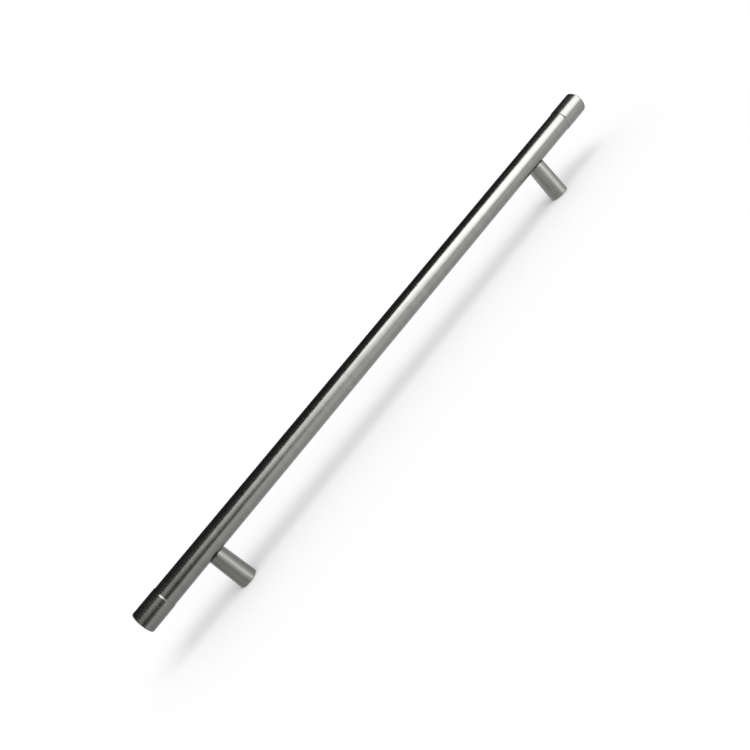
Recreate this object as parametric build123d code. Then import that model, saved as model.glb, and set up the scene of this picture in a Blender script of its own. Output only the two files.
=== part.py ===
# Bar handle for a cabinet door or a drawer front: a hollow round bar carried on two posts.
# Frame: the origin is on the face that the handle is fixed to, midway between the two posts.
# +X runs along the bar and +Z from the fixing face out to the bar. All sizes are in millimetres.
import os
from math import radians, tan

from build123d import *

# Where the bar sits
fixing_centres = 256.0  # between the axes of the two posts
bar_overhang = 43.0  # from the axis of each post to the end of the bar
finger_gap = 20.0  # from the fixing face to the underside of the bar

# Bar, a steel tube between two turned end caps
bar_diameter = 12.0
bar_wall = 1.0
bar_end_break = 0.1  # chamfer on the tube's outer edge, which shows as the seam
bar_hole_diameter = 4.5  # lets the stud through the underside

# End caps: a head a little thicker than the bar, with a plug that is pressed into the tube
cap_length = 15.0
cap_step = 0.25  # how far the head stands proud of the bar
cap_shoulder = 0.6  # length of the cone from the bar up to the head
cap_end_chamfer = 0.3
plug_length = 10.0
plug_end_chamfer = 0.6
plug_clearance = 0.02

# Posts, turned with a slight taper, flat on top with a shallow saddle across for the bar
post_top_diameter = 9.5  # level with the underside of the bar
post_foot_diameter = 10.2
post_foot_chamfer = 0.25
post_rim_chamfer = 0.3
saddle_depth = 0.9  # how far the bar sinks into the top
saddle_clearance = 0.02

# Tapped hole in each foot, at its drilled size
fixing_hole_diameter = 3.3
fixing_hole_depth = 9.0
fixing_hole_chamfer = 0.5
drill_point_angle = 118.0

# Studs that pull the bar down on to the posts: socket set screws, at their full diameter
stud_diameter = 4.0
stud_in_post = 6.0  # below the underside of the bar
stud_in_bar = 8.0  # above the underside of the bar
stud_end_chamfer = 0.5
stud_clearance = 0.02
stud_tip_gap = 0.5
socket_across_flats = 2.0
socket_depth = 2.0

# Tapped slugs inside the bar, which the studs screw into
slug_length = 16.0
slug_end_chamfer = 0.6
slug_clearance = 0.05

# Worked out from the sizes above
bar_radius = bar_diameter / 2
bore_radius = bar_radius - bar_wall
bar_axis_height = finger_gap + bar_radius
tube_half = fixing_centres / 2 + bar_overhang - cap_length
stud_hole_radius = stud_diameter / 2 + stud_clearance
sides = {"left": -1, "right": 1}


def turned(*outline):
    # A solid of revolution about Z, from the (radius, height) points of half its section.
    return revolve(Plane.XZ * make_face(Polyline(*outline, close=True)), Axis.Z)


def drill_point(radius):
    return radius / tan(radians(drill_point_angle / 2))


def on_bar(distance, solid):
    # Lays a solid that was turned about Z along the bar, with its base at a distance from the middle.
    turn = 90 if distance >= 0 else -90
    return Pos(distance, 0, bar_axis_height) * Rotation(0, turn, 0) * solid


def on_post(side, solid):
    return Pos(side * fixing_centres / 2, 0, 0) * solid


def make_tube():
    rod = turned(
        (0, -tube_half),
        (bar_radius - bar_end_break, -tube_half),
        (bar_radius, bar_end_break - tube_half),
        (bar_radius, tube_half - bar_end_break),
        (bar_radius - bar_end_break, tube_half),
        (0, tube_half),
    )
    tube = on_bar(0, rod - Cylinder(bore_radius, 2 * tube_half))
    upwards = (Align.CENTER, Align.CENTER, Align.MIN)
    stud_way = Cylinder(bar_hole_diameter / 2, bar_axis_height, align=upwards)
    for side in sides.values():
        tube -= on_post(side, stud_way)
    return tube


def make_cap(side):
    plug = bore_radius - plug_clearance
    head = bar_radius + cap_step
    cap = turned(
        (0, -plug_length),
        (plug - plug_end_chamfer, -plug_length),
        (plug, plug_end_chamfer - plug_length),
        (plug, 0),
        (bar_radius, 0),
        (head, cap_shoulder),
        (head, cap_length - cap_end_chamfer),
        (head - cap_end_chamfer, cap_length),
        (0, cap_length),
    )
    return on_bar(side * tube_half, cap)


def make_post(side):
    foot = post_foot_diameter / 2
    taper = (foot - post_top_diameter / 2) / finger_gap
    height = finger_gap + saddle_depth
    rim = height - post_rim_chamfer
    blank = turned(
        (0, 0),
        (foot - post_foot_chamfer, 0),
        (foot - taper * post_foot_chamfer, post_foot_chamfer),
        (foot - taper * rim, rim),
        (foot - taper * rim - post_rim_chamfer, height),
        (0, height),
    )
    post = blank - on_bar(0, Cylinder(bar_radius + saddle_clearance, 2 * post_foot_diameter))
    fixing = fixing_hole_diameter / 2
    post -= turned(
        (0, 0),
        (fixing + fixing_hole_chamfer, 0),
        (fixing, fixing_hole_chamfer),
        (fixing, fixing_hole_depth),
        (0, fixing_hole_depth + drill_point(fixing)),
    )
    stud_hole_floor = finger_gap - stud_in_post - stud_tip_gap
    post -= turned(
        (0, stud_hole_floor - drill_point(stud_hole_radius)),
        (stud_hole_radius, stud_hole_floor),
        (stud_hole_radius, bar_axis_height),
        (0, bar_axis_height),
    )
    return on_post(side, post)


def make_stud(side):
    radius = stud_diameter / 2
    length = stud_in_post + stud_in_bar
    stud = turned(
        (0, 0),
        (radius - stud_end_chamfer, 0),
        (radius, stud_end_chamfer),
        (radius, length - stud_end_chamfer),
        (radius - stud_end_chamfer, length),
        (0, length),
    )
    stud -= extrude(RegularPolygon(socket_across_flats / 2, 6, major_radius=False), socket_depth)
    return on_post(side, Pos(0, 0, finger_gap - stud_in_post) * stud)


def make_slug(side):
    radius = bore_radius - slug_clearance
    end = slug_length / 2
    slug = turned(
        (0, -end),
        (radius - slug_end_chamfer, -end),
        (radius, slug_end_chamfer - end),
        (radius, end - slug_end_chamfer),
        (radius - slug_end_chamfer, end),
        (0, end),
    )
    tapped_through = Cylinder(stud_hole_radius, 2 * bar_axis_height)
    return on_post(side, on_bar(0, slug) - Pos(0, 0, bar_axis_height) * tapped_through)


nodes = {"bar_tube": make_tube()}
for name, side in sides.items():
    nodes[f"end_cap_{name}"] = make_cap(side)
    nodes[f"post_{name}"] = make_post(side)
    nodes[f"stud_{name}"] = make_stud(side)
    nodes[f"bar_slug_{name}"] = make_slug(side)

os.makedirs("parts", exist_ok=True)
for name, solid in nodes.items():
    solid.label = name
    export_step(solid, f"parts/{name}.step")
    print(f"{name}: {solid.volume:.1f} mm3")
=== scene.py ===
# Looks of the round bar handle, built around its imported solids, in the handle's own frame
from math import cos, pi, radians, tan

import bmesh
import bpy
from mathutils import Matrix, Quaternion, Vector


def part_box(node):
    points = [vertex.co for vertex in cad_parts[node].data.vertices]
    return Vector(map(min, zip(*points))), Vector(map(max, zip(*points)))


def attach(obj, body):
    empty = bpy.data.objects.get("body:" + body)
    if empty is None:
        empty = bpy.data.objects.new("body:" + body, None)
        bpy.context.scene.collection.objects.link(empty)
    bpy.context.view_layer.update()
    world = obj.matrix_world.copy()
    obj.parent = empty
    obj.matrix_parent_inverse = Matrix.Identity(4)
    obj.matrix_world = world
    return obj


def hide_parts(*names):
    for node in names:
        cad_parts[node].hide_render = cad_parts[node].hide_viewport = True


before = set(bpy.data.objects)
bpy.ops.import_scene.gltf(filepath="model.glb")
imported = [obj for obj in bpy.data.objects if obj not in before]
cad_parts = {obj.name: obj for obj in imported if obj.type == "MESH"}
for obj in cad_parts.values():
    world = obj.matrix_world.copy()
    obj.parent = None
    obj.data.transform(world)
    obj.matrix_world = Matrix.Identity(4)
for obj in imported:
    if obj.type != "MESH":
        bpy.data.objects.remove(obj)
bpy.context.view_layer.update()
scene = bpy.context.scene
mm = 0.001  # pieces are sized in millimetres, the studio in metres
up = (0, 0, 1)
sides = {"left": -1, "right": 1}
print("frame loaded:", sorted(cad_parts))


# Places of the bar and the posts, from the frame

tubeLow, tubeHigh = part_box("bar_tube")
barHeight = (tubeLow.z + tubeHigh.z) / 2
tubeHalf = (tubeHigh.x - tubeLow.x) / 2 / mm
postLow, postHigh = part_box("post_right")
postX = (postLow.x + postHigh.x) / 2


# Bench tools

def turnOnLathe(outline, steps, closed=False, mergeWithin=1e-7):
    # Turns the (radius, height) points of half a section about Z
    bm = bmesh.new()
    points = [bm.verts.new((radius * mm, 0, height * mm)) for radius, height in outline]
    following = points[1:] + points[:1] if closed else points[1:]
    edges = [bm.edges.new(pair) for pair in zip(points, following)]
    bmesh.ops.spin(bm, geom=points + edges, cent=(0, 0, 0), axis=up,
                   angle=2 * pi, steps=steps, use_merge=True)
    bmesh.ops.remove_doubles(bm, verts=bm.verts, dist=mergeWithin)
    bmesh.ops.recalc_face_normals(bm, faces=bm.faces)
    return bm


def threadCoil(inner, outer, pitch, height, stepsPerTurn=32):
    # A coil to carve a thread with, from the (radius, half width) of its section at its two sides.
    # It starts one turn below the end of the piece
    (innerRadius, innerHalf), (outerRadius, outerHalf) = inner, outer
    section = [(innerRadius, -innerHalf), (outerRadius, -outerHalf),
               (outerRadius, outerHalf), (innerRadius, innerHalf)]
    bm = bmesh.new()
    face = bm.faces.new([bm.verts.new((radius * mm, 0, rise * mm)) for radius, rise in section])
    steps = round(height / pitch * stepsPerTurn)
    climb = Vector((0, 0, pitch / stepsPerTurn * mm))
    bmesh.ops.spin(bm, geom=[face], cent=(0, 0, 0), axis=up, dvec=climb,
                   angle=2 * pi * steps / stepsPerTurn, steps=steps)
    bmesh.ops.recalc_face_normals(bm, faces=bm.faces)
    bmesh.ops.translate(bm, vec=(0, 0, -pitch * mm), verts=bm.verts)
    return bm


def cuttingRod(radius, length, steps, seat=Matrix()):
    bm = bmesh.new()
    bmesh.ops.create_cone(bm, cap_ends=True, segments=steps, radius1=radius, radius2=radius,
                          depth=length, matrix=seat)
    return bm


def sharpEdges(bm, smallest=20):
    return [e for e in bm.edges if len(e.link_faces) == 2 and e.calc_face_angle() > radians(smallest)]


def easeEdges(bm, edges, width, segments=2):
    bmesh.ops.bevel(bm, geom=edges, offset=width * mm, offset_type="OFFSET", segments=segments,
                    profile=0.5, affect="EDGES", material=-1, clamp_overlap=True)


def addLoops(bm, heights):
    # Loops near an edge keep the shading of a long face from leaning towards it
    for height in heights:
        everything = bm.verts[:] + bm.edges[:] + bm.faces[:]
        bmesh.ops.bisect_plane(bm, geom=everything, plane_co=Vector(up) * height * mm, plane_no=up)


def putInScene(name, bm):
    mesh = bpy.data.meshes.new(name)
    bm.to_mesh(mesh)
    bm.free()
    thing = bpy.data.objects.new(name, mesh)
    scene.collection.objects.link(thing)
    return thing


def carve(bm, *cutters):
    block = putInScene("block", bm)
    tools = [putInScene("tool", cutter) for cutter in cutters]
    for tool in tools:
        step = block.modifiers.new("carve", "BOOLEAN")
        step.operation = "DIFFERENCE"
        step.solver = "EXACT"
        step.object = tool
    carved = bmesh.new()
    carved.from_object(block, bpy.context.evaluated_depsgraph_get())
    for used in [block] + tools:
        mesh = used.data
        bpy.data.objects.remove(used)
        bpy.data.meshes.remove(mesh)
    return carved


def alongBar(x, turn):
    return Matrix.Translation((x, 0, barHeight)) @ Matrix.Rotation(radians(turn), 4, "Y")


def overPost(side, height):
    return Matrix.Translation((side * postX, 0, height))


def finishPiece(name, bm, node, material, smoothBelow=28):
    piece = putInScene(name, bm)
    mesh = piece.data
    mesh.shade_smooth()
    mesh.set_sharp_from_angle(angle=radians(smoothBelow))
    mesh.materials.append(material)
    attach(piece, "root")
    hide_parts(node)
    print("made", name, "with", len(mesh.polygons), "faces")


def finishPair(name, bm, seats, node, material):
    # The same shape at each end of the handle
    for end, seat in seats.items():
        copy = bm.copy()
        bmesh.ops.transform(copy, matrix=seat, verts=copy.verts)
        finishPiece(f"{name}_{end}", copy, f"{node}_{end}", material)
    bm.free()


# Materials

def startMaterial(name):
    material = bpy.data.materials.new(name)
    material.use_nodes = True
    return material, material.node_tree.nodes, material.node_tree.links


def brushedMetal(name, look, axis):
    # Fine marks run round the axis, as a lathe or a belt leaves them
    material, nodes, links = startMaterial(name)
    shader = nodes["Principled BSDF"]
    shader.inputs["Metallic"].default_value = 1.0
    shader.inputs["Anisotropic"].default_value = look["anisotropy"]
    shader.inputs["Anisotropic Rotation"].default_value = look["grainTurn"]
    tangent = nodes.new("ShaderNodeTangent")
    tangent.direction_type = "RADIAL"
    tangent.axis = axis
    links.new(tangent.outputs["Tangent"], shader.inputs["Tangent"])
    coords = nodes.new("ShaderNodeTexCoord")

    def marks(along, around, detail):
        mapping = nodes.new("ShaderNodeMapping")
        mapping.inputs["Scale"].default_value = [along if letter == axis else around for letter in "XYZ"]
        links.new(coords.outputs["Object"], mapping.inputs["Vector"])
        noise = nodes.new("ShaderNodeTexNoise")
        noise.inputs["Scale"].default_value = 1.0
        noise.inputs["Detail"].default_value = detail
        links.new(mapping.outputs["Vector"], noise.inputs["Vector"])
        return noise.outputs["Fac"]

    fineMarks = marks(*look["fineMarks"])
    wideMarks = marks(*look["wideMarks"])
    both = nodes.new("ShaderNodeMath")
    both.operation = "ADD"
    links.new(fineMarks, both.inputs[0])
    links.new(wideMarks, both.inputs[1])
    mean = nodes.new("ShaderNodeMath")
    mean.operation = "MULTIPLY"
    mean.inputs[1].default_value = 0.5
    links.new(both.outputs[0], mean.inputs[0])

    tone = nodes.new("ShaderNodeValToRGB")
    tones = (look["darkTone"], look["paleTone"])
    for element, spot, colour in zip(tone.color_ramp.elements, look["toneSpan"], tones):
        element.position = spot
        element.color = (*colour, 1)
    links.new(mean.outputs[0], tone.inputs["Fac"])
    links.new(tone.outputs["Color"], shader.inputs["Base Color"])

    rough = nodes.new("ShaderNodeMapRange")
    smoothFrom, roughFrom = look["roughSpan"]
    rough.inputs["From Min"].default_value = smoothFrom
    rough.inputs["From Max"].default_value = roughFrom
    rough.inputs["To Min"].default_value = look["smooth"]
    rough.inputs["To Max"].default_value = look["rough"]
    links.new(mean.outputs[0], rough.inputs["Value"])
    links.new(rough.outputs["Result"], shader.inputs["Roughness"])

    bump = nodes.new("ShaderNodeBump")
    bump.inputs["Strength"].default_value = look["markStrength"]
    bump.inputs["Distance"].default_value = look["markDepth"]
    links.new(fineMarks, bump.inputs["Height"])
    links.new(bump.outputs["Normal"], shader.inputs["Normal"])
    return material


satinSteel = {
    "darkTone": (0.285, 0.284, 0.273),
    "paleTone": (0.335, 0.334, 0.322),
    "toneSpan": (0.35, 0.65),  # of the marks, from dark to pale
    "smooth": 0.24,
    "rough": 0.29,
    "roughSpan": (0.3, 0.7),  # of the marks, from smooth to rough
    "anisotropy": 0.65,
    "grainTurn": 0.25,  # part of a full turn
    "fineMarks": (3200, 140, 3),  # per metre along the axis and across it, and their detail
    "wideMarks": (260, 42, 2),
    "markStrength": 0.03,
    "markDepth": 0.00001,
}
postSteel = dict(satinSteel, darkTone=(0.342, 0.341, 0.328), paleTone=(0.402, 0.401, 0.386),
                 smooth=0.44, rough=0.5, anisotropy=0.9)
blackSteel = dict(satinSteel, darkTone=(0.02, 0.02, 0.021), paleTone=(0.045, 0.045, 0.046), anisotropy=0.2)
zincSteel = dict(satinSteel, darkTone=(0.42, 0.43, 0.45), paleTone=(0.55, 0.56, 0.58), anisotropy=0.3)

barFinish = brushedMetal("satin_bar", satinSteel, "X")
capFinish = brushedMetal("satin_caps", satinSteel, "X")
postFinish = brushedMetal("satin_posts", postSteel, "Z")
studFinish = brushedMetal("black_studs", blackSteel, "Z")
slugFinish = brushedMetal("zinc_slugs", zincSteel, "X")
print("materials ready")


# Bar tube

tubeSizes = {
    "radius": 6.0,
    "bore": 5.0,
    "endBreak": 0.1,
    "studHole": 2.25,
    "steps": 128,
    "holeSteps": 48,
    "loopByEnd": 1,  # how far the shading loops are from the ends
    "loopByPost": 4,  # and from the axis of each post
}


def makeTube(sizes):
    radius, bore, edge, end = sizes["radius"], sizes["bore"], sizes["endBreak"], tubeHalf
    outline = [(bore, -end), (radius - edge, -end), (radius, edge - end),
               (radius, end - edge), (radius - edge, end), (bore, end)]
    bm = turnOnLathe(outline, sizes["steps"], closed=True)
    last = end - sizes["loopByEnd"]
    near = postX / mm - sizes["loopByPost"]
    far = postX / mm + sizes["loopByPost"]
    addLoops(bm, [-last, -far, -near, near, far, last])
    bmesh.ops.transform(bm, matrix=alongBar(0, 90), verts=bm.verts)
    hole = sizes["studHole"] * mm
    drills = [cuttingRod(hole, barHeight, sizes["holeSteps"], overPost(side, barHeight / 2))
              for side in sides.values()]
    return carve(bm, *drills)


finishPiece("handle_tube", makeTube(tubeSizes), "bar_tube", barFinish)


# End caps

capSizes = {
    "length": 15.0,
    "head": 6.248,  # radius, just inside the solid's facets
    "shoulder": 0.6,
    "endChamfer": 0.3,
    "plug": 4.98,  # radius
    "plugLength": 10.0,
    "plugChamfer": 0.6,
    "ease": 0.08,
    "loopByEdge": 0.6,
    "steps": 128,
}
capSeats = {end: alongBar(side * tubeHalf * mm, 90 * side) for end, side in sides.items()}


def makeCap(sizes):
    head, shoulder = sizes["head"], sizes["shoulder"]
    length, chamfer = sizes["length"], sizes["endChamfer"]
    plug, depth, plugChamfer = sizes["plug"], sizes["plugLength"], sizes["plugChamfer"]
    outline = [(0, -depth), (plug - plugChamfer, -depth), (plug, plugChamfer - depth), (plug, 0),
               (tubeSizes["radius"], 0), (head, shoulder), (head, length - chamfer),
               (head - chamfer, length), (0, length)]
    bm = turnOnLathe(outline, sizes["steps"])
    headEdges = [e for e in sharpEdges(bm) if min(v.co.z for v in e.verts) > shoulder / 2 * mm]
    easeEdges(bm, headEdges, sizes["ease"])
    addLoops(bm, [shoulder + sizes["loopByEdge"], length - chamfer - sizes["loopByEdge"]])
    return bm


finishPair("handle_cap", makeCap(capSizes), capSeats, "end_cap", capFinish)


# Posts

threadSizes = {"pitch": 0.7, "rootHalf": 0.05}  # in the feet and on the studs alike
postSizes = {
    "foot": 5.1,  # radius
    "top": 4.75,  # radius level with the underside of the bar
    "topHeight": 20.0,
    "height": 20.9,
    "footChamfer": 0.25,
    "rimChamfer": 0.3,
    "saddle": 6.02,
    "loops": [1.6, 14, 19],  # heights of the shading loops up the taper
    "ease": 0.08,
    "easeOutside": 3.0,  # edges nearer to the axis stay sharp
    "fixingHole": 1.65,
    "fixingDepth": 9.0,
    "fixingChamfer": 0.5,
    "threadRoot": 2.0,
    "threadMouthHalf": 0.3,
    "threadOverlap": 0.15,  # how far the coil stands in the open hole
    "threadLength": 8.4,
    "studHole": 2.02,
    "studFloor": 13.5,
    "drillAngle": 118,
    "steps": 96,
}
postSeats = {end: overPost(side, 0) for end, side in sides.items()}


def makePost(sizes, thread):
    foot, height = sizes["foot"], sizes["height"]
    hole, holeDepth, mouth = sizes["fixingHole"], sizes["fixingDepth"], sizes["fixingChamfer"]
    studHole, studFloor = sizes["studHole"], sizes["studFloor"]
    taper = (foot - sizes["top"]) / sizes["topHeight"]
    rim = height - sizes["rimChamfer"]
    drillPoint = 1 / tan(radians(sizes["drillAngle"] / 2))  # its length to its radius
    outline = [(0, holeDepth + hole * drillPoint), (hole, holeDepth), (hole, mouth),
               (hole + mouth, 0), (foot - sizes["footChamfer"], 0)]
    outline += [(foot - taper * level, level) for level in [sizes["footChamfer"], *sizes["loops"], rim]]
    outline += [(foot - taper * rim - sizes["rimChamfer"], height), (studHole, height),
                (studHole, studFloor), (0, studFloor - studHole * drillPoint)]
    bm = turnOnLathe(outline, sizes["steps"])
    easeOutside = sizes["easeOutside"] * mm
    outerEdges = [e for e in sharpEdges(bm) if min(v.co.xy.length for v in e.verts) > easeOutside]
    easeEdges(bm, outerEdges, sizes["ease"])
    barLength = 4 * foot * mm  # well past the post on both sides
    bar = cuttingRod(sizes["saddle"] * mm, barLength, tubeSizes["steps"], alongBar(0, 90))
    coil = threadCoil((hole - sizes["threadOverlap"], sizes["threadMouthHalf"]),
                      (sizes["threadRoot"], thread["rootHalf"]), thread["pitch"], sizes["threadLength"])
    return carve(bm, bar, coil)


finishPair("handle_post", makePost(postSizes, threadSizes), postSeats, "post", postFinish)


# Studs

studSizes = {
    "radius": 2.0,
    "length": 14.0,
    "foot": 14.0,  # height of its lower end
    "endChamfer": 0.5,
    "socketAcross": 2.0,
    "socketDepth": 2.0,
    "socketSides": 6,
    "threadDepth": 0.42,
    "threadMouthHalf": 0.33,
    "threadOverlap": 0.1,  # how far the coil stands out of the stud
    "steps": 48,
}
studSeats = {end: overPost(side, studSizes["foot"] * mm) for end, side in sides.items()}


def makeStud(sizes, thread):
    radius, chamfer, length = sizes["radius"], sizes["endChamfer"], sizes["length"]
    outline = [(0, 0), (radius - chamfer, 0), (radius, chamfer),
               (radius, length - chamfer), (radius - chamfer, length), (0, length)]
    bm = turnOnLathe(outline, sizes["steps"])
    corner = sizes["socketAcross"] / 2 / cos(pi / sizes["socketSides"])
    socket = cuttingRod(corner * mm, 2 * sizes["socketDepth"] * mm, sizes["socketSides"])
    coil = threadCoil((radius - sizes["threadDepth"], thread["rootHalf"]),
                      (radius + sizes["threadOverlap"], sizes["threadMouthHalf"]),
                      thread["pitch"], length + 2 * thread["pitch"])
    return carve(bm, socket, coil)


finishPair("handle_stud", makeStud(studSizes, threadSizes), studSeats, "stud", studFinish)


# Slugs, which keep their solids

for end in sides:
    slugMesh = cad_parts[f"bar_slug_{end}"].data
    slugMesh.materials.clear()
    slugMesh.materials.append(slugFinish)
print("slugs finished")


# Studio: white floor and surround, a soft lamp above, and a softbox and cards that only reflections see

rightwards = (1, 0, 0)
backwards = (0, 1, 0)
floorSizes = {
    "reach": 4.0,
    "height": -0.0001,
    "opening": 0.0046,  # radius, a little less than the flat of a foot
    "openingSteps": 48,
    "tone": 0.9,
}


def floorMaterial(tone):
    # Seen from above only, so that the feet can be looked at from below
    material, nodes, links = startMaterial("floor_white")
    nodes.remove(nodes["Principled BSDF"])
    white = nodes.new("ShaderNodeBsdfDiffuse")
    white.inputs["Color"].default_value = (tone, tone, tone, 1)
    clear = nodes.new("ShaderNodeBsdfTransparent")
    side = nodes.new("ShaderNodeNewGeometry")
    mix = nodes.new("ShaderNodeMixShader")
    links.new(side.outputs["Backfacing"], mix.inputs["Fac"])
    links.new(white.outputs[0], mix.inputs[1])
    links.new(clear.outputs[0], mix.inputs[2])
    links.new(mix.outputs[0], nodes["Material Output"].inputs["Surface"])
    return material


def stageFloor(sizes):
    # Open under each post, where the foot hides the opening from above and shows through it from below
    reach, height = sizes["reach"], sizes["height"]
    bm = bmesh.new()
    square = [(-reach, -reach), (reach, -reach), (reach, reach), (-reach, reach)]
    corners = [bm.verts.new((x, y, height)) for x, y in square]
    for pair in zip(corners, corners[1:] + corners[:1]):
        bm.edges.new(pair)
    for side in sides.values():
        bmesh.ops.create_circle(bm, cap_ends=False, segments=sizes["openingSteps"],
                                radius=sizes["opening"], matrix=overPost(side, height))
    bmesh.ops.triangle_fill(bm, edges=bm.edges, use_beauty=True, normal=up)
    floor = putInScene("floor", bm)
    faces = floor.data.polygons
    floor.data.materials.append(floorMaterial(sizes["tone"]))
    print("floor of", len(faces), "faces, area", sum(face.area for face in faces))


stageFloor(floorSizes)


def fadeAlong(nodes, links, place, direction, stops):
    # The share of light that is left at a place, from stops of how far along a direction and what share
    low, high = stops[0][0], stops[-1][0]
    along = nodes.new("ShaderNodeVectorMath")
    along.operation = "DOT_PRODUCT"
    along.inputs[1].default_value = direction
    links.new(place, along.inputs[0])
    span = nodes.new("ShaderNodeMapRange")
    span.inputs["From Min"].default_value = low
    span.inputs["From Max"].default_value = high
    links.new(along.outputs["Value"], span.inputs["Value"])
    ramp = nodes.new("ShaderNodeValToRGB")
    while len(ramp.color_ramp.elements) < len(stops):
        ramp.color_ramp.elements.new(0.5)  # moved to its stop below
    for element, (spot, share) in zip(ramp.color_ramp.elements, stops):
        element.position = (spot - low) / (high - low)
        element.color = (share, share, share, 1)
    links.new(span.outputs["Result"], ramp.inputs["Fac"])
    return ramp.outputs["Color"]


def glowMaterial(name, level, fades):
    material, nodes, links = startMaterial(name)
    nodes.remove(nodes["Principled BSDF"])
    glow = nodes.new("ShaderNodeEmission")
    links.new(glow.outputs[0], nodes["Material Output"].inputs["Surface"])
    coords = nodes.new("ShaderNodeTexCoord")
    strength = glow.inputs["Strength"]
    strength.default_value = level
    for direction, stops in fades:
        times = nodes.new("ShaderNodeMath")
        times.operation = "MULTIPLY"
        links.new(fadeAlong(nodes, links, coords.outputs["Object"], direction, stops), times.inputs[0])
        links.new(times.outputs[0], strength)
        strength = times.inputs[1]  # the next fade, or the level, goes in here
        strength.default_value = level
    return material


def stageCard(name, corners, level, fades=()):
    bm = bmesh.new()
    bm.faces.new([bm.verts.new(corner) for corner in corners])
    card = putInScene(name, bm)
    card.data.materials.append(glowMaterial(f"{name}_glow", level, fades))
    card.visible_camera = False
    card.visible_diffuse = False
    card.visible_transmission = False
    card.visible_shadow = False
    print("placed", name)


def standCard(name, start, end, top, level, fades=()):
    # Upright on the floor, from one point of it to another
    stageCard(name, [(*start, 0), (*end, 0), (*end, top), (*start, top)], level, fades)


flag = {  # the dark card above
    "height": 0.5,
    "level": 0.03,
    "outline": [(-0.55, -0.5), (-0.285, -0.44), (-0.165, -0.338), (0.01, -0.274), (0.087, -0.226),
                (0.388, -0.1725), (0.52, -0.205), (0.7, -0.205), (0.65, 0.1), (0.87, 0.565),
                (1.24, 1.02), (-0.75, 1.02), (-0.6, 0.565), (-0.55, 0.1)],
}
stageCard("card_above", [(x, y, flag["height"]) for x, y in flag["outline"]], flag["level"])

backCard = {  # bright at the floor, and dark where it meets the flag
    "start": (-1.2, 1.02),
    "end": (2.2, 1.02),
    "top": flag["height"],
    "level": 2.2,
    "fades": [(up, [(0.0, 1.0), (0.05, 0.75), (0.11, 0.26), (0.18, 0.06), (0.28, 0.014)])],
}
standCard("card_back", **backCard)

leftCard = {"start": (-1.0, -0.62), "end": (-1.0, 0.75), "top": 0.4, "level": 0.12}
standCard("card_left", **leftCard)

rightCard = {"start": (1.6, 0.0), "end": (1.6, 1.4), "top": 0.4, "level": flag["level"]}
standCard("card_right", **rightCard)

frontCard = {  # low, in front of the left half
    "start": (-0.52, -0.25),
    "end": (0.02, -0.25),
    "top": 0.112,
    "level": 0.9,
    "fades": [(rightwards, [(-0.25, 0.03), (-0.14, 0.06), (-0.06, 0.4), (0.02, 0.9)])],
}
standCard("card_front", **frontCard)

softbox = {  # leans over the handle from the front, brightest to the right
    "left": -1.4,
    "right": 2.3,
    "low": (-2.25, 0.0),  # y and z of its lower and upper edge
    "high": (-0.618, 2.378),
    "level": 5.0,
    "fades": [
        ((1, 0, 0.346), [(-1.0, 0.2), (-0.55, 0.03), (-0.35, 0.0), (-0.05, 0.0), (0.03, 0.02), (0.08, 0.08),
                         (0.148, 0.17), (0.24, 0.235), (0.331, 0.29), (0.45, 0.29), (0.575, 0.275),
                         (0.757, 0.28), (0.879, 0.42), (1.0, 0.64), (1.12, 0.84), (1.3, 0.9),
                         (1.6, 0.8), (2.2, 0.6), (2.8, 0.45)]),
        (up, [(0.0, 0.48), (0.2, 0.72), (0.52, 0.86), (0.8, 0.94), (1.1, 1.0)]),
    ],
}
softboxCorners = [(softbox["left"], *softbox["low"]), (softbox["right"], *softbox["low"]),
                  (softbox["right"], *softbox["high"]), (softbox["left"], *softbox["high"])]
stageCard("softbox", softboxCorners, softbox["level"], softbox["fades"])

floorCard = {  # pale, just over the floor, in front of the bar and under it; it glows only in reflections, in place of the floor, with painted shade
    "left": -0.27,
    "right": 0.5,
    "front": -0.3,
    "back": 0.034,
    "height": 0.0005,
    "level": 0.98,
    "fades": [
        (rightwards, [(-0.18, 0.66), (-0.12, 0.82), (-0.06, 0.96), (0.05, 1.0)]),
        # painted shadow: the share falls to 0.7 under the bar, where the bar shades the floor as
        # reflections see it
        (backwards, [(-0.04, 1.0), (-0.006, 0.7), (0.01, 0.76), (0.034, 1.0)]),
        ((1, 0.54, 0), [(-0.256, 0.05), (-0.206, 1.0)]),  # darkens the left corner
    ],
}
floorCardPlan = [(floorCard["left"], floorCard["front"]), (floorCard["right"], floorCard["front"]),
                 (floorCard["right"], floorCard["back"]), (floorCard["left"], floorCard["back"])]
stageCard("card_floor_painted_shadow", [(x, y, floorCard["height"]) for x, y in floorCardPlan], floorCard["level"],
          floorCard["fades"])

lampLook = {"power": 1.1, "spread": 50, "from": (0.25, -0.35, 1.0)}


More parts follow.
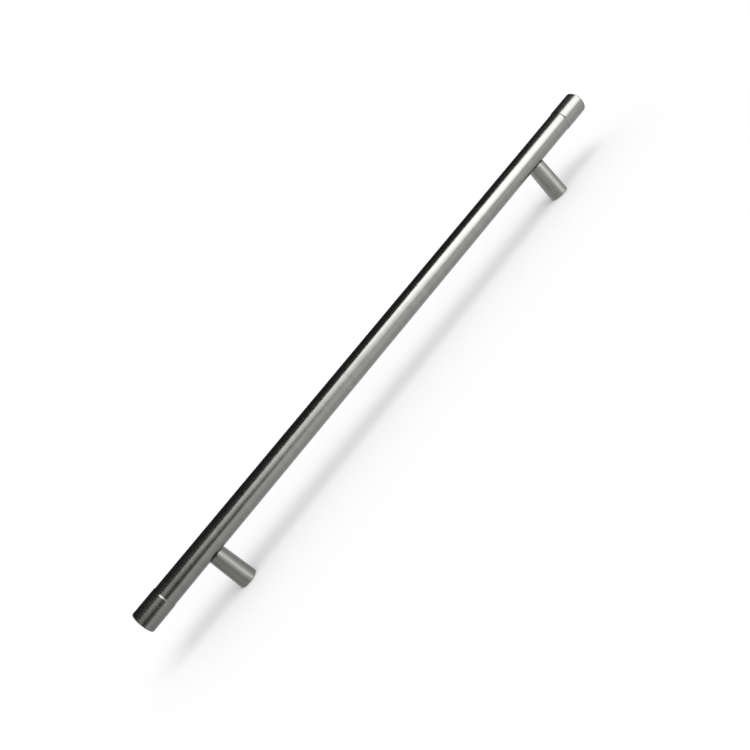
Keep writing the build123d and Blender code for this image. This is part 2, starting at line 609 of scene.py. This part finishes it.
def lampOverhead(look):
    lamp = bpy.data.lights.new("lamp_above", "SUN")
    lamp.angle = radians(look["spread"])
    lamp.energy = look["power"]
    thing = bpy.data.objects.new("lamp_above", lamp)
    thing.rotation_mode = "QUATERNION"
    thing.rotation_quaternion = (-Vector(look["from"])).to_track_quat("-Z", "Y")
    thing.visible_glossy = False
    scene.collection.objects.link(thing)


lampOverhead(lampLook)

surroundLook = {"seen": 1.0, "ambient": 0.8}


def whiteSurround(look):
    # White to the camera and in reflections, a little less as light on the floor
    world = bpy.data.worlds.new("surround")
    scene.world = world
    world.use_nodes = True
    nodes = world.node_tree.nodes
    links = world.node_tree.links
    ray = nodes.new("ShaderNodeLightPath")
    seen = ray.outputs["Is Camera Ray"]
    for kind in ("Is Glossy Ray", "Is Transmission Ray"):
        either = nodes.new("ShaderNodeMath")
        either.operation = "MAXIMUM"
        links.new(seen, either.inputs[0])
        links.new(ray.outputs[kind], either.inputs[1])
        seen = either.outputs[0]
    level = nodes.new("ShaderNodeMapRange")
    level.inputs["To Min"].default_value = look["ambient"]
    level.inputs["To Max"].default_value = look["seen"]
    links.new(seen, level.inputs["Value"])
    background = nodes["Background"]
    background.inputs["Color"].default_value = (1, 1, 1, 1)
    links.new(level.outputs["Result"], background.inputs["Strength"])


whiteSurround(surroundLook)
print("studio set")


# Camera, as the photograph was taken

shot = {
    "eye": (-90.6, -347.85, 131.46),
    "aim": (-14.7, 0.0, 15.66),
    "roll": -46.74,
    "lens": 36.27,
    "sensor": 36,
    "nearest": 10,  # where clipping starts
}


def setCamera(view):
    data = bpy.data.cameras.new("camera")
    data.sensor_width = view["sensor"]
    data.lens = view["lens"]
    data.clip_start = view["nearest"] * mm
    camera = bpy.data.objects.new("camera", data)
    eye = Vector(view["eye"]) * mm
    facing = (Vector(view["aim"]) * mm - eye).to_track_quat("-Z", "Y")
    camera.location = eye
    camera.rotation_mode = "QUATERNION"
    camera.rotation_quaternion = facing @ Quaternion(up, radians(view["roll"]))
    scene.collection.objects.link(camera)
    scene.camera = camera


setCamera(shot)
scene.view_settings.view_transform = "Standard"
